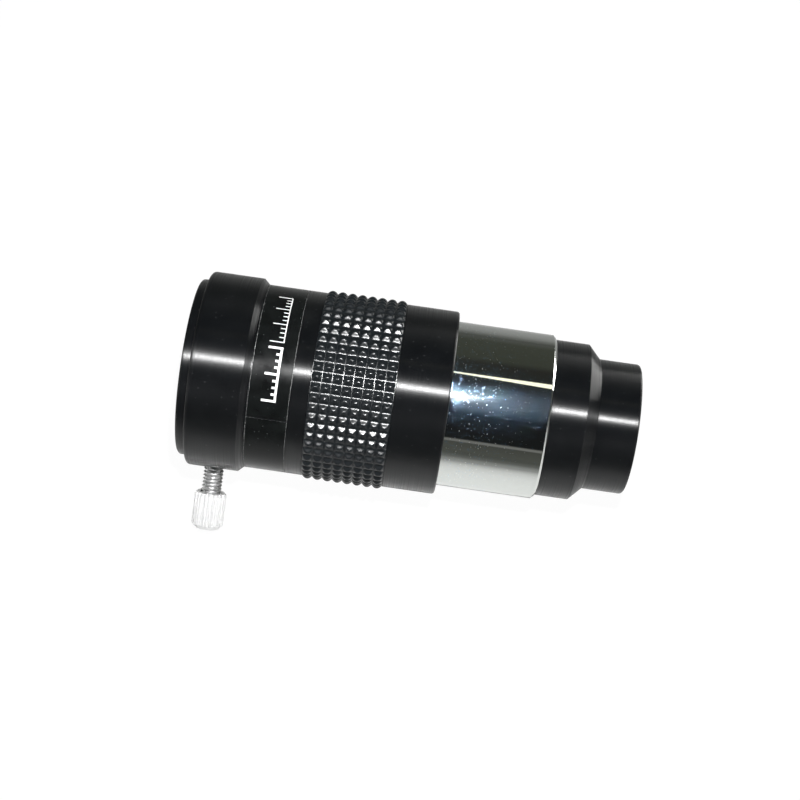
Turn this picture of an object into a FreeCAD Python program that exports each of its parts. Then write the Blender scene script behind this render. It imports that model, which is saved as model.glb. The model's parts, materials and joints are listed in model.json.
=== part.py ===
import FreeCAD, Part
import math
import os

# A 1.25 inch Barlow lens: millimetres, +Z up, lying on its side.
# The optical axis is X. The origin is on that axis, in the plane of the shoulder that stops against a
# focuser, and +X runs along the chrome barrel to the nose that carries the lenses.

# Driving dimensions
BARREL_R = 15.875          # 1.25 inch push-fit barrel
BARREL_LENGTH = 18.9       # from the shoulder to the lens cell
BORE_R = 15.9              # takes a 1.25 inch eyepiece
BORE_DEPTH = 27.7
BODY_R = 17.71
BODY_LENGTH = 49.7         # from the open rim to the shoulder
COLLAR_R = 18.73
LIP_R = 17.0
CELL_R = 15.07
CELL_LENGTH = 6.6
CONE_LENGTH = 2.4
NOSE_R = 12.57
NOSE_LENGTH = 7.8
FIT_GAP = 0.02             # between pieces glued, pressed or screwed home for good
RUNNING_GAP = 0.05         # between threads and pivots that turn

# Stations along the axis
RIM_X = -BODY_LENGTH
STOP_X = RIM_X + BORE_DEPTH
COLLAR_BACK_X = RIM_X + 1.8
COLLAR_FRONT_X = RIM_X + 12.8
LABEL_BACK_X = COLLAR_FRONT_X + 0.15
LABEL_FRONT_X = LABEL_BACK_X + 7.95
GRIP_BACK_X = RIM_X + 24.05
GRIP_FRONT_X = GRIP_BACK_X + 15.55
CELL_END_X = BARREL_LENGTH + CELL_LENGTH
NOSE_START_X = CELL_END_X + CONE_LENGTH
NOSE_END_X = NOSE_START_X + NOSE_LENGTH

# Edges
OUTER_ROUND = 0.5
COLLAR_ROUND = 0.7
COLLAR_BEVEL = 1.1
BEVEL_ROUND = 0.2
CELL_ROUND = 0.15
MOUTH_CHAMFER = 0.25
BARREL_CHAMFER = 0.5
THREAD_CHAMFER = 0.3
EDGE_BREAK = 0.15

# Holder, label and grip
BAFFLE_R = 14.4            # bore behind the eyepiece stop
SPIGOT_R = 15.2            # screwed end of the chrome barrel
SPIGOT_LENGTH = 8.0
LABEL_THICKNESS = 0.08
LABEL_GAP_DEG = 1.0
LABEL_SEAM_DEG = 73.5      # from the thumbscrew round to the middle of the gap
GRIP_FLOOR_R = 16.8
GRIP_VALLEY_R = 17.55
GRIP_TIP_R = 18.25
GRIP_ROWS = 58
GRIP_COLUMNS = 8
GRIP_MARGIN = 0.2

# Glare stop, a knife-edged ring inside the chrome barrel
STOP_BACK_X = 2.0
STOP_FRONT_X = 3.6
STOP_WEB_R = 12.6
STOP_APERTURE_R = 8.2
STOP_EDGE_BACK_X = 2.3
STOP_EDGE_FRONT_X = 2.6

# Filter thread M28.5 x 0.6 between the barrel and the lens cell
FILTER_THREAD_R = 14.25
FILTER_THREAD_LENGTH = 4.6
THREAD_WALL = 1.3
THREAD_RELIEF = 0.5

# Cemented negative doublet of about 40 mm focal length, with its washer and retaining ring
LENS_R = 9.5
CROWN_CURVE = 20.6
FLINT_BACK_CURVE = 90.2
CROWN_CENTRE = 1.3
FLINT_CENTRE = 3.3
LENS_APERTURE_R = 8.7
LENS_SEAT_DEPTH = 1.0
RING_R = 10.0
RING_LENGTH = 1.7
RING_RECESS = 0.7
SLOT_WIDTH = 1.2
SLOT_DEPTH = 0.8
WASHER_R = 9.9
WASHER_THICKNESS = 0.4

# Thumbscrew, M4 x 0.7
SCREW_X = RIM_X + 6.75
STUD_R = 1.95
STUD_CHAMFER = 0.3
STUD_IN_KNOB = 4.0
STUD_END_R = 17.2          # distance of the stud's inner end from the optical axis
KNOB_BOTTOM_R = 24.0       # distance of the knob's underside from the optical axis
KNOB_R = 3.1
KNOB_LENGTH = 7.2
KNOB_END_CHAMFER = 0.9
KNOB_UNDER_CHAMFER = 0.4
KNOB_RIDGES = 22
KNOB_FLUTE = 0.3
PAD_R = 1.5
PAD_FACE_R = BORE_R + 0.05
PAD_HEAD = 0.5
PAD_STEM_R = 0.7
PAD_STEM_END_R = STUD_END_R + 1.4
PAD_SOCKET_END_R = STUD_END_R + 1.5

# The screw leans so that the knob's rim is level with the bottom of the collar, and the Barlow lies
# steady on the two.
KNOB_RIM_DISTANCE = KNOB_BOTTOM_R + KNOB_LENGTH - KNOB_END_CHAMFER
RIM_LEAN = math.atan2(KNOB_R, KNOB_RIM_DISTANCE)
SCREW_DROP = math.asin(COLLAR_R / math.hypot(KNOB_RIM_DISTANCE, KNOB_R)) - RIM_LEAN
SCREW_OUT = FreeCAD.Vector(0, -math.cos(SCREW_DROP), -math.sin(SCREW_DROP))
AXIS = FreeCAD.Vector(1, 0, 0)
CENTRE = FreeCAD.Vector(0, 0, 0)


def sag(curve, height):
    return curve - math.sqrt(curve**2 - height**2)


# Stations of the doublet, from the nose inwards
CROWN_RIM_X = NOSE_END_X - RING_RECESS - RING_LENGTH - WASHER_THICKNESS
CROWN_FRONT_X = CROWN_RIM_X - sag(CROWN_CURVE, LENS_R)
CROWN_BACK_X = CROWN_FRONT_X - CROWN_CENTRE
FLINT_FRONT_X = CROWN_BACK_X - FIT_GAP
FLINT_BACK_X = FLINT_FRONT_X - FLINT_CENTRE
LENS_SEAT_X = FLINT_BACK_X - sag(FLINT_BACK_CURVE, LENS_R)


def turned(outline):
    """Solid of revolution about the optical axis from corners (x, radius)."""
    corners = [FreeCAD.Vector(x, 0, radius) for x, radius in outline]
    face = Part.Face(Part.makePolygon(corners + corners[:1]))
    return face.revolve(CENTRE, AXIS, 360)


def rim_edges(shape, x, radius):
    """Circular edges of a turned shape at one station."""
    found = []
    for edge in shape.Edges:
        curve = edge.Curve
        if isinstance(curve, Part.Circle):
            if abs(curve.Center.x - x) < 1e-4 and abs(curve.Radius - radius) < 1e-4:
                found.append(edge)
    return found


def rounded(shape, size, *stations):
    edges = [edge for x, radius in stations for edge in rim_edges(shape, x, radius)]
    return shape.makeFillet(size, edges)


def bevelled(shape, size, *stations):
    edges = [edge for x, radius in stations for edge in rim_edges(shape, x, radius)]
    return shape.makeChamfer(size, edges)


def on_screw(distance):
    """Point on the thumbscrew's axis at a distance from the optical axis."""
    return FreeCAD.Vector(SCREW_X, 0, 0) + SCREW_OUT * distance


def screw_rod(radius, start, end):
    """Cylinder on the thumbscrew's axis, between two distances from the optical axis."""
    return Part.makeCylinder(radius, end - start, on_screw(start), SCREW_OUT)


def eyepiece_holder():
    outline = [
        (RIM_X, BORE_R),
        (RIM_X, LIP_R),
        (COLLAR_FRONT_X, LIP_R),
        (COLLAR_FRONT_X, BODY_R),
        (LABEL_BACK_X, BODY_R),
        (LABEL_BACK_X, BODY_R - LABEL_THICKNESS),
        (LABEL_FRONT_X, BODY_R - LABEL_THICKNESS),
        (LABEL_FRONT_X, BODY_R),
        (GRIP_BACK_X, BODY_R),
        (GRIP_BACK_X, GRIP_FLOOR_R),
        (GRIP_FRONT_X, GRIP_FLOOR_R),
        (GRIP_FRONT_X, BODY_R),
        (0, BODY_R),
        (0, SPIGOT_R + FIT_GAP),
        (-SPIGOT_LENGTH - FIT_GAP, SPIGOT_R + FIT_GAP),
        (-SPIGOT_LENGTH - FIT_GAP, BAFFLE_R),
        (STOP_X, BAFFLE_R),
        (STOP_X, BORE_R),
    ]
    tube = turned(outline)
    tube = rounded(tube, OUTER_ROUND, (RIM_X, LIP_R), (0, BODY_R))
    tube = bevelled(tube, MOUTH_CHAMFER, (RIM_X, BORE_R))
    tube = bevelled(tube, EDGE_BREAK, (GRIP_BACK_X, BODY_R), (GRIP_FRONT_X, BODY_R))
    return tube.cut(screw_rod(STUD_R + RUNNING_GAP, BORE_R - 2, LIP_R + 1))


def clamp_collar():
    inside = LIP_R + FIT_GAP
    outline = [
        (COLLAR_BACK_X, inside),
        (COLLAR_BACK_X, COLLAR_R),
        (COLLAR_FRONT_X - COLLAR_BEVEL, COLLAR_R),
        (COLLAR_FRONT_X - FIT_GAP, BODY_R),
        (COLLAR_FRONT_X - FIT_GAP, inside),
    ]
    collar = rounded(turned(outline), COLLAR_ROUND, (COLLAR_BACK_X, COLLAR_R))
    collar = rounded(collar, BEVEL_ROUND, (COLLAR_FRONT_X - COLLAR_BEVEL, COLLAR_R))
    return collar.cut(screw_rod(STUD_R + RUNNING_GAP, inside - 2, COLLAR_R + 1))


def label_band():
    """Thin printed band in its recess, open at the seam."""
    inside = BODY_R - LABEL_THICKNESS + FIT_GAP / 2
    length = LABEL_FRONT_X - LABEL_BACK_X - 2 * EDGE_BREAK
    corners = [(0, inside), (0, BODY_R), (length, BODY_R), (length, inside)]
    points = [FreeCAD.Vector(LABEL_BACK_X + EDGE_BREAK + x, 0, radius) for x, radius in corners]
    section = Part.Face(Part.makePolygon(points + points[:1]))
    screw_deg = math.degrees(math.atan2(-SCREW_OUT.y, SCREW_OUT.z))
    seam_deg = screw_deg - LABEL_SEAM_DEG
    section.rotate(CENTRE, AXIS, seam_deg + LABEL_GAP_DEG / 2)
    return section.revolve(CENTRE, AXIS, 360 - LABEL_GAP_DEG)


def rubber_grip():
    """Rubber sleeve covered in four-sided points, built facet by facet."""
    half_row = math.pi / GRIP_ROWS
    start = GRIP_BACK_X + FIT_GAP
    end = GRIP_FRONT_X - FIT_GAP
    pitch = (end - start - 2 * GRIP_MARGIN) / GRIP_COLUMNS
    inner_r = (GRIP_FLOOR_R + FIT_GAP) / math.cos(half_row)

    def corner(x, half_rows, radius):
        angle = half_rows * half_row
        return FreeCAD.Vector(x, radius * math.cos(angle), radius * math.sin(angle))

    def facet(*corners):
        facets.append(Part.Face(Part.makePolygon(corners + corners[:1])))

    facets = []
    for row in range(GRIP_ROWS):
        near, middle, far = 2 * row, 2 * row + 1, 2 * row + 2
        for x0, x1 in ((start, start + GRIP_MARGIN), (end - GRIP_MARGIN, end)):
            facet(corner(x0, near, GRIP_VALLEY_R), corner(x0, far, GRIP_VALLEY_R),
                  corner(x1, far, GRIP_VALLEY_R), corner(x1, near, GRIP_VALLEY_R))
        for column in range(GRIP_COLUMNS):
            x0 = start + GRIP_MARGIN + column * pitch
            x1 = x0 + pitch
            tip = corner((x0 + x1) / 2, middle, GRIP_TIP_R)
            base = [corner(x0, near, GRIP_VALLEY_R), corner(x0, far, GRIP_VALLEY_R),
                    corner(x1, far, GRIP_VALLEY_R), corner(x1, near, GRIP_VALLEY_R)]
            for side in range(4):
                facet(base[side], base[(side + 1) % 4], tip)
        facet(corner(start, near, inner_r), corner(end, near, inner_r),
              corner(end, far, inner_r), corner(start, far, inner_r))
        facet(corner(start, near, GRIP_VALLEY_R), corner(start, near, inner_r),
              corner(start, far, inner_r), corner(start, far, GRIP_VALLEY_R))
        facet(corner(end, near, GRIP_VALLEY_R), corner(end, far, GRIP_VALLEY_R),
              corner(end, far, inner_r), corner(end, near, inner_r))
    shell = Part.makeShell(facets)
    shell.sewShape()
    return Part.makeSolid(shell)


def chrome_barrel():
    inside = FILTER_THREAD_R + RUNNING_GAP
    outline = [
        (-SPIGOT_LENGTH, inside),
        (-SPIGOT_LENGTH, SPIGOT_R),
        (0, SPIGOT_R),
        (0, BARREL_R),
        (BARREL_LENGTH, BARREL_R),
        (BARREL_LENGTH, inside),
    ]
    return bevelled(turned(outline), BARREL_CHAMFER, (BARREL_LENGTH, BARREL_R))


def glare_stop():
    """Thin knife-edged ring that keeps stray light off the eyepiece."""
    outside = FILTER_THREAD_R + RUNNING_GAP - FIT_GAP
    outline = [
        (STOP_BACK_X, outside),
        (STOP_FRONT_X, outside),
        (STOP_FRONT_X, STOP_WEB_R),
        (STOP_EDGE_FRONT_X, STOP_APERTURE_R),
        (STOP_EDGE_BACK_X, STOP_APERTURE_R),
        (STOP_BACK_X, STOP_WEB_R),
    ]
    return turned(outline)


def lens_cell():
    """Screwed housing: threaded spigot, gripping band, cone and nose, bored for the doublet."""
    bore_r = LENS_R + RUNNING_GAP
    ring_seat = CROWN_RIM_X - WASHER_THICKNESS
    thread_back = BARREL_LENGTH - FILTER_THREAD_LENGTH
    outline = [
        (thread_back, FILTER_THREAD_R - THREAD_WALL),
        (thread_back, FILTER_THREAD_R),
        (BARREL_LENGTH - THREAD_RELIEF, FILTER_THREAD_R),
        (BARREL_LENGTH - THREAD_RELIEF, FILTER_THREAD_R - THREAD_RELIEF),
        (BARREL_LENGTH, FILTER_THREAD_R - THREAD_RELIEF),
        (BARREL_LENGTH, CELL_R),
        (CELL_END_X, CELL_R),
        (NOSE_START_X, NOSE_R),
        (NOSE_END_X, NOSE_R),
        (NOSE_END_X, RING_R + FIT_GAP),
        (ring_seat, RING_R + FIT_GAP),
        (ring_seat, bore_r),
        (LENS_SEAT_X, bore_r),
        (LENS_SEAT_X, LENS_APERTURE_R),
        (LENS_SEAT_X - LENS_SEAT_DEPTH, LENS_APERTURE_R),
    ]
    cell = turned(outline)
    cell = rounded(cell, OUTER_ROUND, (NOSE_END_X, NOSE_R))
    cell = rounded(cell, CELL_ROUND, (CELL_END_X, CELL_R))
    return bevelled(cell, THREAD_CHAMFER, (thread_back, FILTER_THREAD_R), (NOSE_END_X, RING_R + FIT_GAP))


def glass(front_x, front_curve, back_x, back_curve):
    """Round lens between two spherical faces; a positive curve has its centre on the +X side."""
    def face_point(vertex_x, curve, height):
        shift = math.copysign(sag(abs(curve), height), curve)
        return FreeCAD.Vector(vertex_x + shift, 0, height)

    def face_arc(vertex_x, curve):
        return [face_point(vertex_x, curve, height) for height in (0, LENS_R / 2, LENS_R)]

    front = face_arc(front_x, front_curve)
    back = face_arc(back_x, back_curve)
    edges = [
        Part.Arc(*front).toShape(),
        Part.makeLine(front[2], back[2]),
        Part.Arc(*back).toShape(),
        Part.makeLine(back[0], front[0]),
    ]
    return Part.Face(Part.Wire(Part.__sortEdges__(edges))).revolve(CENTRE, AXIS, 360)


def crown_lens():
    return glass(CROWN_FRONT_X, CROWN_CURVE, CROWN_BACK_X, -CROWN_CURVE)


def flint_lens():
    return glass(FLINT_FRONT_X, -CROWN_CURVE, FLINT_BACK_X, -FLINT_BACK_CURVE)


def lens_washer():
    front = CROWN_RIM_X + WASHER_THICKNESS
    return turned([(CROWN_RIM_X, LENS_APERTURE_R), (CROWN_RIM_X, WASHER_R),
                   (front, WASHER_R), (front, LENS_APERTURE_R)])


def lens_retaining_ring():
    """Threaded ring with two spanner slots across its front face."""
    back = CROWN_RIM_X + WASHER_THICKNESS
    front = back + RING_LENGTH
    ring = turned([(back, LENS_APERTURE_R), (back, RING_R), (front, RING_R), (front, LENS_APERTURE_R)])
    slot_corner = FreeCAD.Vector(front - SLOT_DEPTH, -2 * RING_R, -SLOT_WIDTH / 2)
    slot = Part.makeBox(2 * SLOT_DEPTH, 4 * RING_R, SLOT_WIDTH, slot_corner)
    return ring.cut(slot)


def thumbscrew_knob():
    """Straight-fluted round knob, bored for its stud."""
    corners = []
    for step in range(2 * KNOB_RIDGES):
        radius = KNOB_R - KNOB_FLUTE * (step % 2)
        angle = step * math.pi / KNOB_RIDGES
        corners.append(FreeCAD.Vector(radius * math.cos(angle), radius * math.sin(angle), 0))
    fluted = Part.Face(Part.makePolygon(corners + corners[:1])).extrude(FreeCAD.Vector(0, 0, KNOB_LENGTH))
    blank = Part.makeCylinder(KNOB_R, KNOB_LENGTH)
    end_rim = [edge for edge in blank.Edges if edge.BoundBox.ZMin > KNOB_LENGTH / 2]
    blank = blank.makeChamfer(KNOB_END_CHAMFER, end_rim)
    under_rim = [edge for edge in blank.Edges if edge.BoundBox.ZMax < KNOB_LENGTH / 2]
    blank = blank.makeChamfer(KNOB_UNDER_CHAMFER, under_rim)
    knob = fluted.common(blank)
    knob = knob.cut(Part.makeCylinder(STUD_R + FIT_GAP, STUD_IN_KNOB + FIT_GAP))
    turn = FreeCAD.Rotation(FreeCAD.Vector(0, 0, 1), SCREW_OUT)
    knob.Placement = FreeCAD.Placement(on_screw(KNOB_BOTTOM_R), turn)
    return knob


def thumbscrew_stud():
    """M4 stud, drawn at its outside diameter, with a socket for the pad's stem."""
    stud = screw_rod(STUD_R, STUD_END_R, KNOB_BOTTOM_R + STUD_IN_KNOB)
    ends = [edge for edge in stud.Edges if isinstance(edge.Curve, Part.Circle)]
    stud = stud.makeChamfer(STUD_CHAMFER, ends)
    return stud.cut(screw_rod(PAD_STEM_R + RUNNING_GAP, STUD_END_R - 1, PAD_SOCKET_END_R))


def thumbscrew_pad():
    """Soft pad on a stem that turns freely in the stud's end, and presses on the eyepiece."""
    head = screw_rod(PAD_R, PAD_FACE_R, STUD_END_R - RUNNING_GAP)
    stem = screw_rod(PAD_STEM_R, PAD_FACE_R + PAD_HEAD, PAD_STEM_END_R)
    return head.fuse(stem).removeSplitter()


PIECES = {
    "eyepiece_holder": eyepiece_holder,
    "clamp_collar": clamp_collar,
    "label_band": label_band,
    "rubber_grip": rubber_grip,
    "chrome_barrel": chrome_barrel,
    "glare_stop": glare_stop,
    "lens_cell": lens_cell,
    "crown_lens": crown_lens,
    "flint_lens": flint_lens,
    "lens_washer": lens_washer,
    "lens_retaining_ring": lens_retaining_ring,
    "thumbscrew_knob": thumbscrew_knob,
    "thumbscrew_stud": thumbscrew_stud,
    "thumbscrew_pad": thumbscrew_pad,
}

os.makedirs("parts", exist_ok=True)
for node, make in PIECES.items():
    solid = make()
    solid.exportStep("parts/" + node + ".step")
    print(node, "valid", solid.isValid(), "solids", len(solid.Solids), "volume", round(solid.Volume, 2))
print("screw drop, degrees:", round(math.degrees(SCREW_DROP), 3))
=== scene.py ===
import json
import math

import bmesh
import bpy
from mathutils import Matrix, Vector


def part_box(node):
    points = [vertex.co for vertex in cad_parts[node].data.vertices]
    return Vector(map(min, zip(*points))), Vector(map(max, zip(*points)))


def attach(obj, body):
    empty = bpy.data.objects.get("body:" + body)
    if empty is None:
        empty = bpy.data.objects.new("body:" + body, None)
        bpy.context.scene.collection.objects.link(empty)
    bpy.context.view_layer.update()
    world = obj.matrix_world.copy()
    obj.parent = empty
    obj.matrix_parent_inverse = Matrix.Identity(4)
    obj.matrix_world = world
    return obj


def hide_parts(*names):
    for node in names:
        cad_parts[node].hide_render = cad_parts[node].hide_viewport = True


# A 1.25 inch Barlow lens on a white studio floor. Shapes are worked out in millimetres in the CAD model's
# frame (the optical axis is X) and turned into metres as each mesh is made.

MM = 0.001
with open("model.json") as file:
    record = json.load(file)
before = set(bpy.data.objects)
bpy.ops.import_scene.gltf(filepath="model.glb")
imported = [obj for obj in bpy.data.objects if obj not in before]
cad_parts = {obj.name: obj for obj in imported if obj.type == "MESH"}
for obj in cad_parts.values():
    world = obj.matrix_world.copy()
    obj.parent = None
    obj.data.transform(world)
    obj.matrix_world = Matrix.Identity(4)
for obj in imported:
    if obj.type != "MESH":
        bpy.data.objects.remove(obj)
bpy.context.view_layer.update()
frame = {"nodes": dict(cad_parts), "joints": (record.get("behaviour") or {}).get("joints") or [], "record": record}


def span(node):
    """First and last station along the axis and outer radius of a round CAD node, in millimetres."""
    low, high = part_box(node)
    return low.x / MM, high.x / MM, high.z / MM


RIM_X, SHOULDER_X, BODY_R = span("eyepiece_holder")
COLLAR_BACK_X, COLLAR_FRONT_X, COLLAR_R = span("clamp_collar")
LABEL_BACK_X, LABEL_FRONT_X, LABEL_R = span("label_band")
GRIP_BACK_X, GRIP_FRONT_X, GRIP_TIP_R = span("rubber_grip")
SPIGOT_BACK_X, BARREL_END_X, BARREL_R = span("chrome_barrel")
CELL_BACK_X, NOSE_END_X, CELL_R = span("lens_cell")
CROWN_BACK_X, CROWN_RIM_X, LENS_R = span("crown_lens")
LENS_SEAT_X, _, _ = span("flint_lens")
FLOOR_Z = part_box("clamp_collar")[0].z

JOINTS = {joint["name"]: joint for joint in frame["joints"]}
SCREW_OUT = -Vector(JOINTS["screw_travel"]["axis"]).normalized()
SCREW_X = JOINTS["screw_turn"]["pos_m"][0] / MM
MOUNTS = {mount["name"]: mount for mount in frame["record"]["mounts"]}
BORE_R = MOUNTS["eyepiece_bore"]["dims"]["r_mm"]

# Radii and stations that the boxes don't give
LIP_R = 17.0
NOSE_R = 12.57
CONE_END_X = NOSE_END_X - 7.8
CONE_START_X = CONE_END_X - 2.4
STOP_X = RIM_X + 27.7
COLLAR_BEVEL = 1.08
BARREL_BEVEL = 0.5
BAFFLE_R = 14.4
SPIGOT_R = 15.2
THREAD_R = 14.25
THREAD_ROOT_R = THREAD_R - 0.42
GRIP_FLOOR_R = 16.8
GRIP_VALLEY_R = 17.7
GRIP_TIP_ROUND = 0.6
GRIP_HOLLOW = 0.6
GRIP_DOME = 2.2
GRIP_FOOT_X = 0.95
GRIP_FOOT_ROW = 0.9
LENS_APERTURE_R = 8.7
RING_R = 10.0
CROWN_CURVE = 20.6
FLINT_BACK_CURVE = 90.2
STUD_R = 1.95
STUD_TIP = 17.2
SCREW_HOLE_R = STUD_R + 0.05
KNOB_R = 3.1
KNOB_BOTTOM = 24.0
KNOB_LENGTH = 7.2
FIT_GAP = 0.02
LABEL_RECESS = 0.08
LABEL_MARGIN = 0.15
LABEL_THICK = 0.07
LABEL_BORDER = 0.09
LABEL_MARK_ANGLE = math.radians(113)
LABEL_SEAM_DEG = 73.5
LABEL_GAP_DEG = 1.0
LABEL_MARK_HALF = 1.35

ROUND_STEPS = 256
CORNER_STEPS = 4
LENS_STEPS = 14
STROKE_STEP = 0.5


# ---------------------------------------------------------------- meshes

def new_piece(name, mesh, materials, body, node=None):
    """Object for a finished mesh, with its body and the CAD node that it stands for."""
    piece = bpy.data.objects.new(name, mesh)
    bpy.context.scene.collection.objects.link(piece)
    for material in materials:
        mesh.materials.append(material)
    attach(piece, body)
    if node:
        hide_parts(node)
    return piece


def smooth(mesh, sharp_deg=38):
    """Shades a mesh smooth except across edges sharper than an angle."""
    for polygon in mesh.polygons:
        polygon.use_smooth = True
    mesh.set_sharp_from_angle(angle=math.radians(sharp_deg))


def even_normals(piece):
    """Broad faces keep their own normals next to small rounded edges."""
    modifier = piece.modifiers.new("even_normals", "WEIGHTED_NORMAL")
    modifier.keep_sharp = True
    modifier.weight = 100
    return piece


def eased(corners):
    """Outline with its corners rounded: each corner is (x, radius, rounding, material index)."""
    points = []
    count = len(corners)
    for index, (x, radius, rounding, tone) in enumerate(corners):
        here = Vector((x, radius))
        if rounding == 0:
            points.append((x, radius, tone))
            continue
        before = (Vector(corners[index - 1][:2]) - here).normalized()
        after = (Vector(corners[(index + 1) % count][:2]) - here).normalized()
        half = math.acos(max(-1.0, min(1.0, before.dot(after)))) / 2
        reach = rounding / math.tan(half)
        centre = here + (before + after).normalized() * (rounding / math.sin(half))
        first = here + before * reach - centre
        last = here + after * reach - centre
        swing = first.angle_signed(last)
        for step in range(CORNER_STEPS + 1):
            turn = Matrix.Rotation(-swing * step / CORNER_STEPS, 2)
            spot = centre + turn @ first
            points.append((spot.x, spot.y, tone))
    return points


def round_point(x, radius, angle):
    """Point in metres at a station along X, a radius and an angle from Y towards Z."""
    return Vector((x, radius * math.cos(angle), radius * math.sin(angle))) * MM


def ring_faces(columns, count):
    """Faces between columns set in a circle; each column is a closed outline of count points."""
    faces = []
    for column in range(columns):
        here = column * count
        there = ((column + 1) % columns) * count
        for index in range(count):
            following = (index + 1) % count
            faces.append((here + index, here + following, there + following, there + index))
    return faces


def clean_mesh(name, vertices, faces, tones=()):
    """Mesh from corner points and faces, with the material index of each face if there are several."""
    mesh = bpy.data.meshes.new(name)
    mesh.from_pydata(vertices, [], faces)
    if tones:
        mesh.polygons.foreach_set("material_index", tones)
    tidy(mesh)
    return mesh


def lathe_mesh(name, points, place=None, steps=ROUND_STEPS):
    """Closed outline turned about X; its points are (x, radius, material index of the face after it)."""
    vertices = []
    for step in range(steps):
        angle = math.tau * step / steps
        vertices += [round_point(x, radius, angle) for x, radius, _ in points]
    if place:
        vertices = [place @ vertex for vertex in vertices]
    tones = [tone for _, _, tone in points] * steps
    return clean_mesh(name, vertices, ring_faces(steps, len(points)), tones)


def tidy(mesh):
    """Merges points that coincide, drops faces with no area, turns the rest outwards and smooths them."""
    work = bmesh.new()
    work.from_mesh(mesh)
    bmesh.ops.remove_doubles(work, verts=work.verts, dist=1e-7)
    bmesh.ops.dissolve_degenerate(work, edges=work.edges, dist=1e-8)
    bmesh.ops.recalc_face_normals(work, faces=work.faces)
    work.to_mesh(mesh)
    work.free()
    smooth(mesh)


def turned(name, corners, materials, body, node):
    """Piece turned about X from an outline, standing for one CAD node."""
    mesh = lathe_mesh(name, eased(corners))
    return even_normals(new_piece(name, mesh, materials, body, node))


def screw_place():
    """Carries X on to the thumbscrew's axis, counted from the optical axis outwards."""
    turn = Vector((1, 0, 0)).rotation_difference(SCREW_OUT).to_matrix().to_4x4()
    return Matrix.Translation((SCREW_X * MM, 0, 0)) @ turn


def drill(piece, start, end):
    """Cuts the thumbscrew's hole through a piece, between two distances from the optical axis."""
    rod = [(start, 0, 0), (start, SCREW_HOLE_R, 0), (end, SCREW_HOLE_R, 0), (end, 0, 0)]
    cutter = bpy.data.objects.new("cutter", lathe_mesh("cutter", rod, screw_place(), steps=48))
    bpy.context.scene.collection.objects.link(cutter)
    cut = piece.modifiers.new("cut", "BOOLEAN")
    cut.object = cutter
    cut.solver = "EXACT"
    bpy.context.view_layer.update()
    graph = bpy.context.evaluated_depsgraph_get()
    mesh = bpy.data.meshes.new_from_object(piece.evaluated_get(graph), depsgraph=graph)
    piece.modifiers.remove(cut)
    old = piece.data
    piece.data = mesh
    bpy.data.meshes.remove(old)
    bpy.data.objects.remove(cutter)
    smooth(mesh)


# ---------------------------------------------------------------- materials

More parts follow.
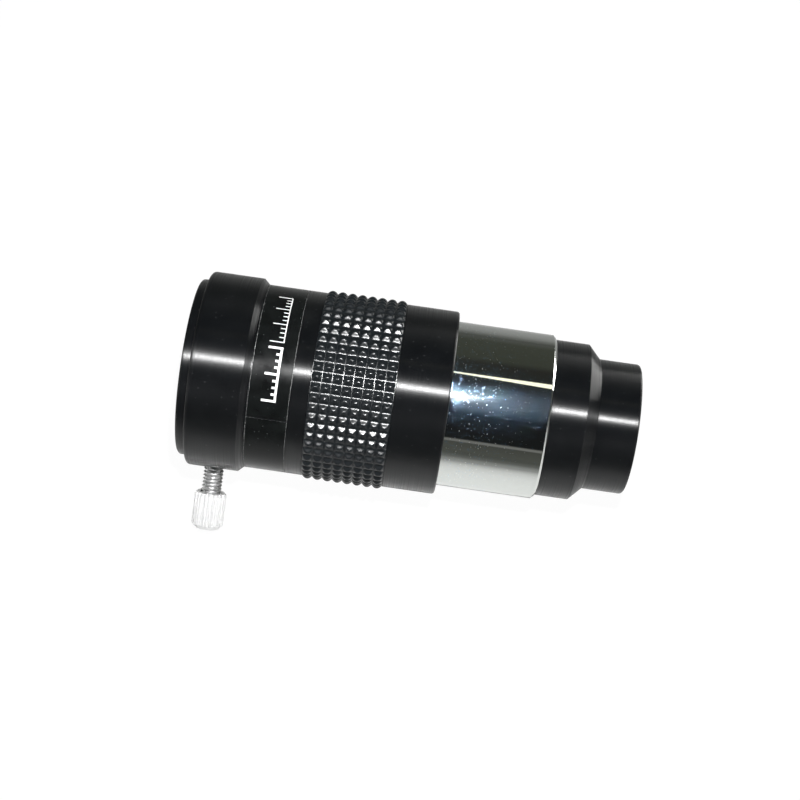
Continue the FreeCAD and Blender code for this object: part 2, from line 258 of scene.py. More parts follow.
class Finish:
    """A material being put together round one Principled shader."""

    def __init__(self, name, **sockets):
        self.material = bpy.data.materials.new(name)
        self.material.use_nodes = True
        self.nodes = self.material.node_tree.nodes
        self.links = self.material.node_tree.links
        self.shader = self.nodes["Principled BSDF"]
        self.place = self.nodes.new("ShaderNodeTexCoord").outputs["Object"]
        for socket, value in sockets.items():
            self.shader.inputs[socket.replace("_", " ")].default_value = value

    def link(self, output, socket):
        self.links.new(output, self.shader.inputs[socket])

    def along_axis(self):
        """Position along the optical axis, in metres."""
        split = self.nodes.new("ShaderNodeSeparateXYZ")
        self.links.new(self.place, split.inputs[0])
        return split.outputs["X"]

    def maths(self, kind, first, second):
        """Arithmetic on two values, each a number or another node's output."""
        node = self.nodes.new("ShaderNodeMath")
        node.operation = kind
        for socket, value in zip(node.inputs, (first, second)):
            if isinstance(value, (int, float)):
                socket.default_value = value
            else:
                self.links.new(value, socket)
        return node.outputs[0]

    def noise(self, per_mm, detail, rough=0.5):
        node = self.nodes.new("ShaderNodeTexNoise")
        node.inputs["Scale"].default_value = per_mm / MM
        node.inputs["Detail"].default_value = detail
        node.inputs["Roughness"].default_value = rough
        self.links.new(self.place, node.inputs["Vector"])
        return node.outputs["Fac"]

    def turning_lines(self, per_mm):
        """Fine rings left by a lathe: noise that only changes along the axis."""
        node = self.nodes.new("ShaderNodeTexNoise")
        node.noise_dimensions = "1D"
        node.inputs["Scale"].default_value = per_mm / MM
        node.inputs["Detail"].default_value = 4.0
        node.inputs["Roughness"].default_value = 0.6
        self.links.new(self.along_axis(), node.inputs["W"])
        return node.outputs["Fac"]

    def specks(self, per_mm, size):
        """1 in small scattered round spots and 0 elsewhere; size is a share of their spacing."""
        node = self.nodes.new("ShaderNodeTexVoronoi")
        node.inputs["Scale"].default_value = per_mm / MM
        node.inputs["Randomness"].default_value = 1.0
        self.links.new(self.place, node.inputs["Vector"])
        colour = self.nodes.new("ShaderNodeSeparateColor")
        self.links.new(node.outputs["Color"], colour.inputs[0])
        reach = self.maths("MULTIPLY", size, colour.outputs[0])
        return self.maths("LESS_THAN", node.outputs["Distance"], reach)

    def ramp(self, factor, *stops):
        """Colours or greys at places from 0 to 1 along factor."""
        node = self.nodes.new("ShaderNodeValToRGB")
        self.links.new(factor, node.inputs[0])
        elements = node.color_ramp.elements
        while len(elements) < len(stops):
            elements.new(0.5)
        for element, (place, value) in zip(elements, stops):
            colour = value if isinstance(value, tuple) else (value, value, value)
            element.position = place
            element.color = (*colour, 1)
        return node.outputs["Color"]

    def blend(self, factor, first, second):
        """Mix of two colours, each a fixed one or another node's output."""
        node = self.nodes.new("ShaderNodeMix")
        node.data_type = "RGBA"
        self.links.new(factor, node.inputs["Factor"])
        for socket, value in ((node.inputs["A"], first), (node.inputs["B"], second)):
            if isinstance(value, tuple):
                socket.default_value = (*value, 1)
            else:
                self.links.new(value, socket)
        return node.outputs["Result"]

    def bump(self, height, depth_mm, strength):
        node = self.nodes.new("ShaderNodeBump")
        node.inputs["Distance"].default_value = depth_mm * MM
        node.inputs["Strength"].default_value = strength
        self.links.new(height, node.inputs["Height"])
        self.link(node.outputs["Normal"], "Normal")

    def grooved_round(self, strength, quarter):
        """Fine grooves stretch a highlight: round the axis, or with a quarter turn along it."""
        tangent = self.nodes.new("ShaderNodeTangent")
        tangent.direction_type = "RADIAL"
        tangent.axis = "X"
        self.shader.inputs["Anisotropic"].default_value = strength
        self.shader.inputs["Anisotropic Rotation"].default_value = quarter
        self.link(tangent.outputs[0], "Tangent")


def anodised_black():
    finish = Finish("black_anodised", IOR=1.46)
    lines = finish.turning_lines(3.6)
    cloud = finish.noise(0.25, 3.0)
    dust = finish.specks(0.9, 0.16)
    tone = finish.ramp(cloud, (0.3, (0.0028, 0.0032, 0.0038)), (0.7, (0.0042, 0.0047, 0.0054)))
    tone = finish.blend(dust, tone, (0.018, 0.019, 0.020))
    finish.link(tone, "Base Color")
    finish.link(finish.ramp(lines, (0.35, 0.30), (0.65, 0.43)), "Roughness")
    finish.bump(lines, 0.001, 0.2)
    finish.grooved_round(1.0, 0.25)
    return finish.material


def matt_black():
    finish = Finish("matt_black")
    grain = finish.noise(9.0, 4.0)
    finish.link(finish.ramp(grain, (0.3, (0.010, 0.010, 0.010)), (0.8, (0.022, 0.022, 0.021))), "Base Color")
    finish.link(finish.ramp(grain, (0.2, 0.75), (0.8, 0.95)), "Roughness")
    finish.bump(grain, 0.01, 0.6)
    return finish.material


def chrome():
    """Mirror plating with a bluish rubbed film in patches and small pits, both fewer towards the nose."""
    finish = Finish("chrome", Metallic=1.0)
    patchy = finish.noise(1.0, 4.0, 0.75)
    along = finish.maths("DIVIDE", finish.along_axis(), BARREL_END_X * MM)
    worn = finish.ramp(along, (0.35, 1.0), (0.9, 0.5))
    share = finish.ramp(patchy, (0.40, 0.13), (0.60, 0.37))
    film = finish.specks(4.5, finish.maths("MULTIPLY", share, worn))
    pits = finish.specks(2.3, finish.maths("MULTIPLY", worn, 0.15))
    rough = finish.blend(film, (0.035, 0.035, 0.035), (0.266, 0.266, 0.266))
    finish.link(finish.blend(pits, rough, (0.29, 0.29, 0.29)), "Roughness")
    tone = finish.ramp(patchy, (0.3, (0.74, 0.765, 0.74)), (0.7, (0.78, 0.80, 0.775)))
    finish.link(finish.blend(film, tone, (0.46, 0.72, 1.0)), "Base Color")
    finish.grooved_round(0.56, 0.0)
    return finish.material


def moulded_rubber():
    finish = Finish("grip_rubber", IOR=1.55)
    grain = finish.noise(10.0, 3.0)
    cloud = finish.noise(0.5, 2.0)
    tone = finish.ramp(cloud, (0.3, (0.005, 0.0065, 0.008)), (0.7, (0.008, 0.010, 0.0115)))
    finish.link(tone, "Base Color")
    finish.link(finish.ramp(grain, (0.3, 0.27), (0.7, 0.35)), "Roughness")
    finish.bump(grain, 0.006, 0.4)
    return finish.material


def label_film():
    finish = Finish("label_film", IOR=1.26)
    fleck = finish.specks(1.3, 0.13)
    cloud = finish.noise(0.4, 3.0)
    tone = finish.ramp(cloud, (0.3, (0.0035, 0.004, 0.004)), (0.7, (0.006, 0.007, 0.007)))
    finish.link(finish.blend(fleck, tone, (0.05, 0.055, 0.055)), "Base Color")
    finish.link(finish.ramp(cloud, (0.3, 0.15), (0.7, 0.23)), "Roughness")
    finish.bump(finish.noise(2.5, 3.0), 0.004, 0.5)
    return finish.material


def label_edge_wear_and_glint():
    finish = Finish("label_edge_wear_and_glint", Roughness=0.5)
    grain = finish.noise(3.0, 3.0)
    # Lighter grey along the cut edges: partly wear, partly a painted edge highlight
    finish.link(finish.ramp(grain, (0.40, (0.01, 0.01, 0.01)), (0.70, (0.22, 0.225, 0.225))), "Base Color")
    return finish.material


def white_ink():
    finish = Finish("white_ink", Roughness=0.45)
    grain = finish.noise(6.0, 3.0)
    finish.link(finish.ramp(grain, (0.3, (0.72, 0.74, 0.75)), (0.6, (0.88, 0.88, 0.88))), "Base Color")
    return finish.material


def bright_metal(name, metallic, rough, pale):
    """Nickel plate; the tumbled knob is paler and more satin than its rolled thread."""
    finish = Finish(name, Metallic=metallic)
    grain = finish.noise(3.0, 4.0)
    finish.link(finish.ramp(grain, (0.3, pale - 0.05), (0.7, pale + 0.02)), "Base Color")
    finish.link(finish.ramp(grain, (0.3, rough - 0.05), (0.7, rough + 0.07)), "Roughness")
    return finish.material


def nylon():
    finish = Finish("pad_plastic", Roughness=0.5)
    grain = finish.noise(5.0, 3.0)
    finish.link(finish.ramp(grain, (0.3, (0.70, 0.69, 0.64)), (0.7, (0.80, 0.79, 0.75))), "Base Color")
    finish.bump(grain, 0.01, 0.4)
    return finish.material


def coated_glass():
    finish = Finish("optical_glass", IOR=1.52, Roughness=0.0, Transmission_Weight=1.0,
                    Thin_Film_Thickness=140.0, Thin_Film_IOR=1.38)
    haze = finish.noise(0.8, 3.0)
    finish.link(finish.ramp(haze, (0.4, (0.97, 0.985, 0.98)), (0.8, (0.99, 0.995, 1.0))), "Base Color")
    return finish.material


# ---------------------------------------------------------------- pieces

def eyepiece_holder(black, matt):
    """Main tube: rim, collar seat, label recess, grip groove, eyepiece bore, baffle and front socket."""
    recess_r = LABEL_R - LABEL_RECESS
    outer = [
        (RIM_X, BORE_R, 0.25, 0),
        (RIM_X, LIP_R, 0.5, 0),
        (COLLAR_FRONT_X + FIT_GAP, LIP_R, 0, 0),
        (COLLAR_FRONT_X + FIT_GAP, BODY_R, 0.06, 0),
        (LABEL_BACK_X - LABEL_MARGIN, BODY_R, 0.03, 0),
        (LABEL_BACK_X - LABEL_MARGIN, recess_r, 0, 0),
        (LABEL_FRONT_X + LABEL_MARGIN, recess_r, 0, 0),
        (LABEL_FRONT_X + LABEL_MARGIN, BODY_R, 0.03, 0),
        (GRIP_BACK_X, BODY_R, 0.15, 0),
        (GRIP_BACK_X, GRIP_FLOOR_R, 0, 0),
        (GRIP_FRONT_X, GRIP_FLOOR_R, 0, 0),
        (GRIP_FRONT_X, BODY_R, 0.15, 0),
        (SHOULDER_X, BODY_R, 0.5, 0),
        (SHOULDER_X, SPIGOT_R + FIT_GAP, 0, 1),
        (SPIGOT_BACK_X, SPIGOT_R + FIT_GAP, 0, 1),
    ]
    baffle_pitch = 0.7
    baffle = []
    x = SPIGOT_BACK_X
    while x > STOP_X + baffle_pitch:
        baffle += [(x, BAFFLE_R, 0, 1), (x - 0.6 * baffle_pitch, BAFFLE_R - 0.3, 0, 1)]
        x -= baffle_pitch
    inner = [(STOP_X, BAFFLE_R - 0.1, 0, 1), (STOP_X, BORE_R, 0, 1)]
    holder = turned("eyepiece_holder_tube", outer + baffle + inner, [black, matt], "holder",
                    "eyepiece_holder")
    drill(holder, BORE_R - 2, LIP_R + 1)


def clamp_collar(black):
    inside = LIP_R + FIT_GAP
    corners = [
        (COLLAR_BACK_X, inside, 0.05, 0),
        (COLLAR_BACK_X, COLLAR_R, 0.7, 0),
        (COLLAR_FRONT_X - COLLAR_BEVEL, COLLAR_R, 0.25, 0),
        (COLLAR_FRONT_X, BODY_R, 0, 0),
        (COLLAR_FRONT_X, inside, 0, 0),
    ]
    collar = turned("clamp_collar_ring", corners, [black], "holder", "clamp_collar")
    drill(collar, inside - 2, COLLAR_R + 1)


def chrome_barrel(shiny, matt):
    inside = THREAD_R + 0.05
    corners = [
        (SPIGOT_BACK_X, inside, 0, 1),
        (SPIGOT_BACK_X, SPIGOT_R, 0, 1),
        (SHOULDER_X, SPIGOT_R, 0, 0),
        (SHOULDER_X, BARREL_R, 0, 0),
        (BARREL_END_X - BARREL_BEVEL, BARREL_R, 0.08, 0),
        (BARREL_END_X, BARREL_R - BARREL_BEVEL, 0.05, 0),
        (BARREL_END_X, inside, 0.1, 1),
    ]
    turned("chrome_barrel_tube", corners, [shiny, matt], "holder", "chrome_barrel")


def lens_cell(black, matt):
    """Screwed housing; its thread is a piece of its own."""
    bore_r = LENS_R + 0.05
    ring_seat = CROWN_RIM_X - 0.4
    corners = [
        (CELL_BACK_X, THREAD_R - 1.3, 0.05, 0),
        (CELL_BACK_X, THREAD_ROOT_R, 0, 0),
        (BARREL_END_X, THREAD_ROOT_R, 0, 0),
        (BARREL_END_X, CELL_R, 0.12, 0),
        (CONE_START_X, CELL_R, 0.18, 0),
        (CONE_END_X, NOSE_R, 0.25, 0),
        (NOSE_END_X, NOSE_R, 0.5, 0),
        (NOSE_END_X, RING_R + FIT_GAP, 0.3, 0),
        (ring_seat, RING_R + FIT_GAP, 0, 1),
        (ring_seat, bore_r, 0, 1),
        (LENS_SEAT_X, bore_r, 0, 1),
        (LENS_SEAT_X, LENS_APERTURE_R, 0, 1),
        (LENS_SEAT_X - 1.0, LENS_APERTURE_R, 0, 1),
    ]
    turned("lens_cell_housing", corners, [black, matt], "cell", "lens_cell")


def thread_mesh(name, start, end, outer_r, depth, pitch, inner_r, place=None, steps=96):
    """Right-handed thread on a rod or sleeve about X, with bevelled ends and closed faces."""
    points = 8
    profile = [(point / points, 0.5 - 0.5 * math.cos(math.tau * point / points)) for point in range(points)]
    turns = int((end - start) / pitch) + 2
    rows = [(turn + share, crest) for turn in range(-1, turns) for share, crest in profile]
    root_r = outer_r - depth
    end_r = root_r - depth / 2
    vertices = []
    for step in range(steps):
        angle = math.tau * step / steps
        column = [(start, inner_r), (start, end_r)]
        for turn, crest in rows:
            x = min(max(start + (turn + step / steps) * pitch, start), end)
            bevel_r = root_r + min(x - start, end - x)
            radius = min(root_r + depth * crest, bevel_r)
            column.append((x, end_r if x in (start, end) else max(radius, inner_r)))
        column.append((end, inner_r))
        vertices += [round_point(x, radius, angle) for x, radius in column]
    last = len(rows) + 2
    faces = []
    for step in range(steps):
        here = step * (last + 1)
        there = ((step + 1) % steps) * (last + 1)
        lag = 0 if step + 1 < steps else points
        faces.append((here, here + 1, there + 1, there))
        for row in range(1, last):
            low = min(max(row - lag, 1), last)
            high = min(max(row + 1 - lag, 1), last)
            faces.append((here + row, here + row + 1, there + high, there + low))
        faces.append((here + last, here, there, there + last))
    if place:
        vertices = [place @ vertex for vertex in vertices]
    return clean_mesh(name, vertices, faces)


def cell_thread(black):
    """M28.5 x 0.6 filter thread on the cell's spigot."""
    mesh = thread_mesh("lens_cell_thread", CELL_BACK_X + 0.05, BARREL_END_X - 0.5, THREAD_R, depth=0.3,
                       pitch=0.6, inner_r=THREAD_R - 0.45, steps=ROUND_STEPS)
    new_piece("lens_cell_thread", mesh, [black], "cell")


def grip_height(share_x, share_row):
    """Height from 0 to 1 of a rubber point: domed along the axis, and hollow-sided round it."""
    def hollow(share):
        cone = math.hypot(share, GRIP_TIP_ROUND) - GRIP_TIP_ROUND
        return (1 + GRIP_HOLLOW) * cone - GRIP_HOLLOW * share * share

    down_x = min(1.0, abs(share_x) / GRIP_FOOT_X) ** GRIP_DOME
    down_row = hollow(min(1.0, abs(share_row) / GRIP_FOOT_ROW)) / hollow(1.0)
    return 1 - min(1.0, (down_x**6 + down_row**6) ** (1 / 6))


def rubber_grip(rubber):
    """Rubber sleeve with circuits of four-sided points between narrow flat-bottomed valleys."""
    rows = 58
    columns = 8
    half_x = (0.18, 0.36, 0.54, 0.7, 0.84, GRIP_FOOT_X)
    half_row = (0.12, 0.28, 0.48, 0.7, GRIP_FOOT_ROW)
    cuts_x = (-1, *(-cut for cut in reversed(half_x)), 0, *half_x)
    cuts_row = (-1, *(-cut for cut in reversed(half_row)), 0, *half_row)
    start = GRIP_BACK_X + 0.02
    end = GRIP_FRONT_X - 0.02
    margin = 0.03
    pitch = (end - start - 2 * margin) / columns
    rise = GRIP_TIP_R - GRIP_VALLEY_R
    stations = [(start, -1)]
    for column in range(columns):
        middle = start + margin + (column + 0.5) * pitch
        stations += [(middle + cut * pitch / 2, cut) for cut in cuts_x]
    stations += [(end - margin, -1), (end, -1)]
    vertices = []
    for row in range(rows):
        for cut in cuts_row:
            angle = math.tau * (row + 0.5 + cut / 2) / rows
            section = [(x, GRIP_VALLEY_R + rise * grip_height(share_x, cut)) for x, share_x in stations]
            section += [(end, GRIP_FLOOR_R + FIT_GAP), (start, GRIP_FLOOR_R + FIT_GAP)]
            vertices += [round_point(x, radius, angle) for x, radius in section]
    faces = ring_faces(rows * len(cuts_row), len(section))
    mesh = clean_mesh("rubber_grip_sleeve", vertices, faces)
    new_piece("rubber_grip_sleeve", mesh, [rubber], "holder", "rubber_grip")


def curved_patch(name, x0, x1, angle0, angle1, inner_r, outer_r, border):
    """Closed curved slab about the axis; its edges and a border along them take the second material."""
    steps = int((angle1 - angle0) / math.radians(1.5))
    xs = [x0, x0 + border, x1 - border, x1]
    vertices = []
    for step in range(steps + 1):
        angle = angle0 + (angle1 - angle0) * step / steps
        for radius in (outer_r, inner_r):
            vertices += [round_point(x, radius, angle) for x in xs]
    width = len(xs)
    slab = 2 * width
    faces = []
    tones = []
    for step in range(steps):
        here = step * slab
        there = here + slab
        for layer in (0, width):
            for index in range(width - 1):
                low = layer + index
                faces.append((here + low, here + low + 1, there + low + 1, there + low))
                tones.append(0 if index == 1 else 1)
        for index in (0, width - 1):
            faces.append((here + index, there + index, there + width + index, here + width + index))
            tones.append(1)
    for here in (0, steps * slab):
        for index in range(width - 1):
            faces.append((here + index, here + index + 1, here + width + index + 1, here + width + index))
            tones.append(1)
    return clean_mesh(name, vertices, faces, tones)


def label_band(film, edge):
    """Film round the body, with its cut edges and the seam between its two ends in lighter grey: partly wear,
    partly a painted edge highlight.
    """
    seam = math.atan2(SCREW_OUT.z, SCREW_OUT.y) - math.radians(LABEL_SEAM_DEG)
    gap = math.radians(LABEL_GAP_DEG)
    mesh = curved_patch("label_band_film", LABEL_BACK_X, LABEL_FRONT_X, seam + gap / 2,
                        seam + math.tau - gap / 2, LABEL_R - LABEL_THICK, LABEL_R, LABEL_BORDER)
    new_piece("label_band_film", mesh, [film, edge], "holder", "label_band")


def stroke(start, end, width):
    """Pairs of points along the two sides of a straight printed line."""
    start, end = Vector(start), Vector(end)
    run = end - start
    out = Vector((-run.y, run.x)).normalized() * width / 2
    pieces = max(1, int(run.length / STROKE_STEP))
    middle = [start + run * index / pieces for index in range(pieces + 1)]
    return [(point + out, point - out) for point in middle]


def label_marks():
    """Printed lines as (across, along) points: a plain scale, fine at the top and bold lower down."""
    half = LABEL_MARK_HALF
    marks = []
    for pitch, width, first, count in ((0.95, 0.17, -18.2, 13), (1.24, 0.42, -5.6, 9)):
        for tick in range(count):
            inner = -half if tick % 4 == 0 else 0.2 * half
            along = first + pitch * tick
            marks.append(stroke((inner, along), (half, along), width))
        spine = half - width / 2
        last = first + pitch * (count - 1)
        marks.append(stroke((spine, first - width / 2), (spine, last + width / 2), width))
    return marks


def label_print(ink):
    """Each mark is a thin slab of ink standing on the film."""
    base_r, top_r = LABEL_R - 0.01, LABEL_R + 0.015
    middle_x = (LABEL_BACK_X + LABEL_FRONT_X) / 2

    def spot(point, radius):
        across, along = point
        return round_point(middle_x + across, radius, LABEL_MARK_ANGLE + along / LABEL_R)

    vertices = []
    faces = []
    for sides in label_marks():
        first = len(vertices)
        for left, right in sides:
            vertices += [spot(left, top_r), spot(right, top_r), spot(right, base_r), spot(left, base_r)]
        for index in range(len(sides) - 1):
            here = first + 4 * index
            for side in range(4):
                beside = (side + 1) % 4
                faces.append((here + side, here + beside, here + 4 + beside, here + 4 + side))
        last = first + 4 * (len(sides) - 1)
        faces += [(first, first + 1, first + 2, first + 3), (last, last + 1, last + 2, last + 3)]
    mesh = clean_mesh("label_print", vertices, faces)
    new_piece("label_print", mesh, [ink], "holder")


def thumbscrew_knob(metal):
    """Round knob with straight V flutes, bevelled at both ends and dished at its end face."""
    ridges = 22
    flute = 0.34
    under_bevel = 0.4
    end_bevel = 0.9
    top = KNOB_BOTTOM + KNOB_LENGTH
    # Place in the pitch of a ridge, and depth as a share of the flute's
    ridge_shape = ((0.0, 0.0), (0.3, -0.1), (0.6, 0.0), (0.8, 1.0))
    stations = [KNOB_BOTTOM + under_bevel * step / 4 for step in range(5)]
    stations += [top - end_bevel * (6 - step) / 6 for step in range(7)]
    rings = [(KNOB_BOTTOM, STUD_R + 0.15, 0.0)]
    for x in stations:
        bevel = max(0.0, KNOB_BOTTOM + under_bevel - x, x - top + end_bevel)
        rings.append((x, KNOB_R - bevel, flute))
    rings += [(top, 1.8, 0.0), (top - 0.12, 1.65, 0.0), (top - 0.12, 0.0, 0.0)]
    around = [(ridge + share, depth) for ridge in range(ridges) for share, depth in ridge_shape]
    vertices = []
    for turn, depth in around:
        angle = math.tau * turn / ridges
        for x, limit, cut in rings:
            radius = min(KNOB_R - 0.1 * cut - cut * depth, limit) if cut else limit
            vertices.append(round_point(x, radius, angle))
    count = len(rings)
    faces = []
    for step in range(len(around)):
        here = step * count
        there = (step + 1) % len(around) * count
        for ring in range(count - 1):
            faces.append((here + ring, here + ring + 1, there + ring + 1, there + ring))
    mesh = clean_mesh("thumbscrew_knob_fluted", [screw_place() @ vertex for vertex in vertices], faces)
    smooth(mesh, 25)
    new_piece("thumbscrew_knob_fluted", mesh, [metal], "thumbscrew", "thumbscrew_knob")


def thumbscrew_stud(metal):
    """M4 thread from inside the collar to inside the knob."""
    mesh = thread_mesh("thumbscrew_stud_thread", STUD_TIP, KNOB_BOTTOM + 4.0, STUD_R, depth=0.4, pitch=0.7,
                       inner_r=0.78, place=screw_place())
    new_piece("thumbscrew_stud_thread", mesh, [metal], "thumbscrew", "thumbscrew_stud")


def sphere_points(vertex_x, curve):
    """Points (x, radius) on a lens face from axis to rim; a positive curve has its centre on +X."""
    points = []
    for step in range(LENS_STEPS + 1):
        height = LENS_R * step / LENS_STEPS
        sag = abs(curve) - math.sqrt(curve * curve - height * height)
        points.append((vertex_x + math.copysign(sag, curve), height))
    return points


def lens(name, front_x, front_curve, back_x, back_curve, glass, node):
    """Lens between two spherical faces, each given by where it meets the axis and its radius."""
    front = sphere_points(front_x, front_curve)
    back = sphere_points(back_x, back_curve)
    outline = [(x, radius, 0) for x, radius in front + back[::-1]]
    mesh = lathe_mesh(name, outline, steps=128)
    new_piece(name, mesh, [glass], "doublet", node)


def doublet(glass):
    rim_sag = CROWN_CURVE - math.sqrt(CROWN_CURVE**2 - LENS_R**2)
    crown_front = CROWN_RIM_X - rim_sag
    crown_back = CROWN_BACK_X + rim_sag
    lens("crown_lens_glass", crown_front, CROWN_CURVE, crown_back, -CROWN_CURVE, glass, "crown_lens")
    flint_back_sag = FLINT_BACK_CURVE - math.sqrt(FLINT_BACK_CURVE**2 - LENS_R**2)
    flint_back = LENS_SEAT_X + flint_back_sag
    lens("flint_lens_glass", crown_back - FIT_GAP, -CROWN_CURVE, flint_back, -FLINT_BACK_CURVE, glass,
         "flint_lens")


black = anodised_black()
matt = matt_black()
film = label_film()
eyepiece_holder(black, matt)
clamp_collar(black)
chrome_barrel(chrome(), matt)
lens_cell(black, matt)
cell_thread(black)
rubber_grip(moulded_rubber())
label_band(film, label_edge_wear_and_glint())
label_print(white_ink())
thumbscrew_knob(bright_metal("satin_nickel", 0.55, 0.34, 0.86))
thumbscrew_stud(bright_metal("plated_thread", 1.0, 0.34, 0.80))
doublet(coated_glass())

for node, material in (("glare_stop", matt), ("lens_washer", matt),
                       ("lens_retaining_ring", matt), ("thumbscrew_pad", nylon())):
    frame["nodes"][node].data.materials.clear()
    frame["nodes"][node].data.materials.append(material)


# ---------------------------------------------------------------- studio

CAMERA_ELEVATION = math.radians(67)
CAMERA_ROLL = math.radians(8.2)
AIM_X = -9.1
AIM_DROP = 0.73
CAMERA_DISTANCE = 317.3
FLASH_DISTANCE = 340
CREAM_DISTANCE = 300
FLOOR_PAINTED_LIGHT_SPAN = 0.8
# Painted pool of light on the floor that the object mirrors: its paleness by metres in front of (-) or behind the
# optical axis
FLOOR_PAINTED_LIGHT = (
    (-0.40, 0.01), (-0.18, 0.035), (-0.097, 0.13), (-0.067, 0.30), (-0.048, 0.37), (-0.030, 0.40),
    (0.010, 0.40), (0.022, 0.29), (0.034, 0.22), (0.048, 0.14), (0.075, 0.13), (0.17, 0.07), (0.40, 0.01),
)
# Light of the room at angles from the front horizon over the top to the back horizon
ROOM_BANDS = (
    (0, (0.085, 0.088, 0.078)),
    (15, (0.068, 0.070, 0.062)),
    (16, (0.19, 0.19, 0.18)),
    (18.5, (0.17, 0.17, 0.16)),
    (20, (0.011, 0.012, 0.012)),
    (56, (0.010, 0.011, 0.013)),
    (63, (0.026, 0.032, 0.040)),
    (80, (0.040, 0.048, 0.058)),
    (100, (0.030, 0.036, 0.040)),
    (119, (0.024, 0.026, 0.024)),
    (130, (0.026, 0.026, 0.023)),
    (139, (0.048, 0.052, 0.041)),
    (172, (0.056, 0.060, 0.048)),
    (180, (0.082, 0.086, 0.076)),
)


def add_camera():
    """Looks down at the Barlow from in front, rolled so that its axis runs down to the right."""
    back = Vector((0, -math.cos(CAMERA_ELEVATION), math.sin(CAMERA_ELEVATION)))
    across_axis = Vector((0, math.sin(CAMERA_ELEVATION), math.cos(CAMERA_ELEVATION)))
    along = Vector((1, 0, 0))
    right = along * math.cos(CAMERA_ROLL) + across_axis * math.sin(CAMERA_ROLL)
    up = across_axis * math.cos(CAMERA_ROLL) - along * math.sin(CAMERA_ROLL)
    aim = Vector((AIM_X, 0, 0)) - up * AIM_DROP
    place = (aim + back * CAMERA_DISTANCE) * MM
    camera = bpy.data.objects.new("camera", bpy.data.cameras.new("camera"))
    camera.matrix_world = Matrix((right, up, back)).transposed().to_4x4()
    camera.matrix_world.translation = place
    camera.data.lens = 74
    camera.data.sensor_width = 36
    camera.data.clip_start = 0.01
    bpy.context.scene.collection.objects.link(camera)
    bpy.context.scene.camera = camera


def round_axis(turn_deg, distance_mm, along_mm):
    """Place at an angle round the optical axis: 0 is the front horizon and 90 is overhead."""
    turn = math.radians(turn_deg)
    return Vector((along_mm, -math.cos(turn) * distance_mm, math.sin(turn) * distance_mm)) * MM


def panel(name, place, aim, width_mm, height_mm, power):
    """White area lamp facing a point."""
    light = bpy.data.lights.new(name, "AREA")
    light.shape = "RECTANGLE"
    light.size = width_mm * MM
    light.size_y = height_mm * MM
    light.energy = power
    lamp = bpy.data.objects.new(name, light)
    lamp.location = place
    lamp.rotation_euler = (aim - place).to_track_quat("-Z", "Y").to_euler()
    lamp.visible_camera = False
    bpy.context.scene.collection.objects.link(lamp)


def glow(name, colour, strength):
    """Plain emission for a reflector card."""
    material = bpy.data.materials.new(name)
    material.use_nodes = True
    nodes = material.node_tree.nodes
    nodes.clear()
    light = nodes.new("ShaderNodeEmission")
    light.inputs["Color"].default_value = (*colour, 1)
    light.inputs["Strength"].default_value = strength
    material.node_tree.links.new(light.outputs[0], nodes.new("ShaderNodeOutputMaterial").inputs["Surface"])
    return material


def card(name, corners, material):
    """Flat card that only shows in reflections."""
    mesh = bpy.data.meshes.new(name)
    mesh.from_pydata(corners, [], [tuple(range(len(corners)))])
    mesh.materials.append(material)
    sheet = bpy.data.objects.new(name, mesh)
    sheet.visible_camera = False
    sheet.visible_diffuse = False
    sheet.visible_shadow = False
    bpy.context.scene.collection.objects.link(sheet)


def add_lights():
    centre = Vector((AIM_X, 0, 0)) * MM
    panel("flash", round_axis(79.0, FLASH_DISTANCE, 2), centre, 12, 12, 2.4)
    for side in (-1, 1):
        panel("side_box", Vector((side * 360, -200, 120)) * MM, centre, 200, 160, 0.14)
    # Corners as (angle round the axis, station along it)
    wedge = [(110.8, 0), (111.8, 60), (104.0, 60), (110.2, 0)]
    cream = glow("cream_card", (1.0, 0.97, 0.72), 1.6)
    card("cream_card", [round_axis(turn, CREAM_DISTANCE, x) for turn, x in wedge], cream)
    low = FLOOR_Z / MM + 0.3
    apron = [(88, 85), (160, 45), (900, 330), (600, 640), (88, 140)]
    pale = glow("floor_card", (1.0, 1.0, 0.98), 13.0)
    card("floor_card", [Vector((x, y, low)) * MM for x, y in apron], pale)


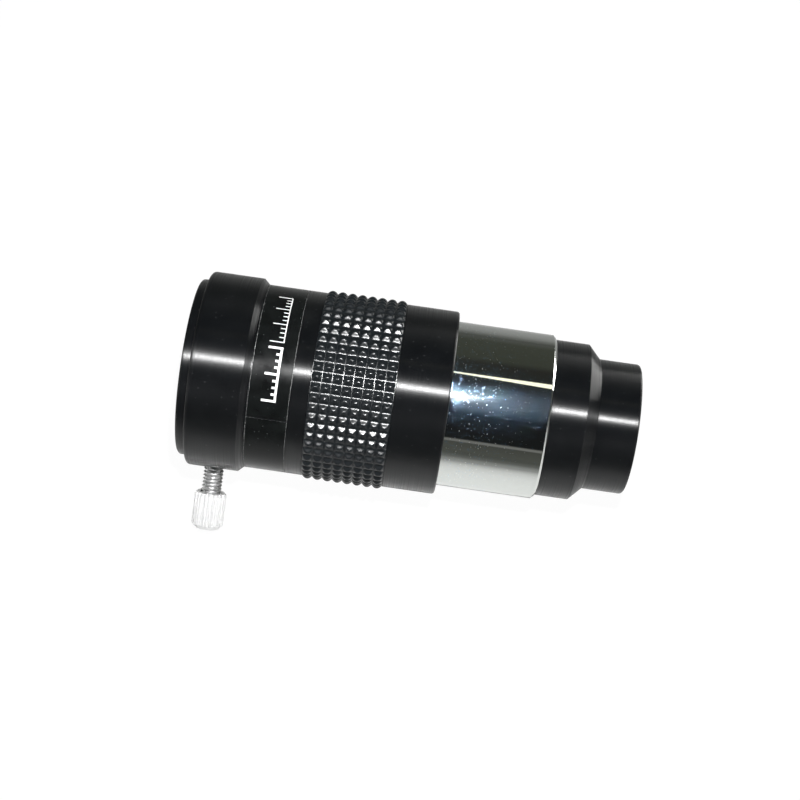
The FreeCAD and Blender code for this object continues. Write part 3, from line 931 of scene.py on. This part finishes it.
def add_floor():
    """White paper to the eye; in what the object mirrors, the floor carries a painted pool of light that darkens
    with distance.
    """
    size = 4.0
    mesh = bpy.data.meshes.new("floor")
    corners = [(-size, -size), (size, -size), (size, size), (-size, size)]
    mesh.from_pydata([(x, y, FLOOR_Z) for x, y in corners], [], [(0, 1, 2, 3)])
    floor = bpy.data.objects.new("floor", mesh)
    bpy.context.scene.collection.objects.link(floor)
    finish = Finish("studio_floor", Roughness=0.9, Specular_IOR_Level=0.0,
                    Emission_Color=(0.96, 1.0, 0.90, 1), Emission_Strength=0.085)
    split = finish.nodes.new("ShaderNodeSeparateXYZ")
    finish.links.new(finish.place, split.inputs[0])
    share = finish.maths("DIVIDE", split.outputs["Y"], FLOOR_PAINTED_LIGHT_SPAN)
    share = finish.maths("ADD", share, 0.5)
    stops = [(place / FLOOR_PAINTED_LIGHT_SPAN + 0.5, tone) for place, tone in FLOOR_PAINTED_LIGHT]
    # Floor colour by distance from the axis is painted light, pale near the object
    finish.link(finish.ramp(share, *stops), "Base Color")
    white = finish.nodes.new("ShaderNodeEmission")
    white.inputs["Color"].default_value = (1, 1, 1, 1)
    white.inputs["Strength"].default_value = 1.0
    paper = finish.nodes.new("ShaderNodeBsdfDiffuse")
    paper.inputs["Color"].default_value = (0.95, 0.95, 0.95, 1)
    seen = finish.nodes.new("ShaderNodeMixShader")
    seen.inputs["Fac"].default_value = 0.025
    finish.links.new(white.outputs[0], seen.inputs[1])
    finish.links.new(paper.outputs[0], seen.inputs[2])
    path = finish.nodes.new("ShaderNodeLightPath")
    choose = finish.nodes.new("ShaderNodeMixShader")
    finish.links.new(path.outputs["Is Camera Ray"], choose.inputs["Fac"])
    finish.links.new(finish.shader.outputs[0], choose.inputs[1])
    finish.links.new(seen.outputs[0], choose.inputs[2])
    finish.links.new(choose.outputs[0], finish.nodes["Material Output"].inputs["Surface"])
    mesh.materials.append(finish.material)


def add_world():
    """Dim room in bands round the optical axis, by the angle from the front horizon over the top."""
    world = bpy.data.worlds.new("studio")
    bpy.context.scene.world = world
    world.use_nodes = True
    nodes = world.node_tree.nodes
    links = world.node_tree.links
    split = nodes.new("ShaderNodeSeparateXYZ")
    links.new(nodes.new("ShaderNodeTexCoord").outputs["Generated"], split.inputs[0])
    front = nodes.new("ShaderNodeMath")
    front.operation = "MULTIPLY"
    front.inputs[1].default_value = -1.0
    links.new(split.outputs["Y"], front.inputs[0])
    turn = nodes.new("ShaderNodeMath")
    turn.operation = "ARCTAN2"
    links.new(split.outputs["Z"], turn.inputs[0])
    links.new(front.outputs[0], turn.inputs[1])
    share = nodes.new("ShaderNodeMath")
    share.operation = "DIVIDE"
    share.inputs[1].default_value = math.pi
    links.new(turn.outputs[0], share.inputs[0])
    bands = nodes.new("ShaderNodeValToRGB")
    elements = bands.color_ramp.elements
    while len(elements) < len(ROOM_BANDS):
        elements.new(0.5)
    for element, (degrees, colour) in zip(elements, ROOM_BANDS):
        element.position = degrees / 180
        element.color = (*colour, 1)
    links.new(share.outputs[0], bands.inputs[0])
    path = nodes.new("ShaderNodeLightPath")
    choose = nodes.new("ShaderNodeMix")
    choose.data_type = "RGBA"
    links.new(path.outputs["Is Camera Ray"], choose.inputs["Factor"])
    links.new(bands.outputs[0], choose.inputs["A"])
    choose.inputs["B"].default_value = (1, 1, 1, 1)
    links.new(choose.outputs["Result"], nodes["Background"].inputs["Color"])


add_camera()
add_lights()
add_floor()
add_world()
bpy.context.scene.view_settings.view_transform = "Standard"
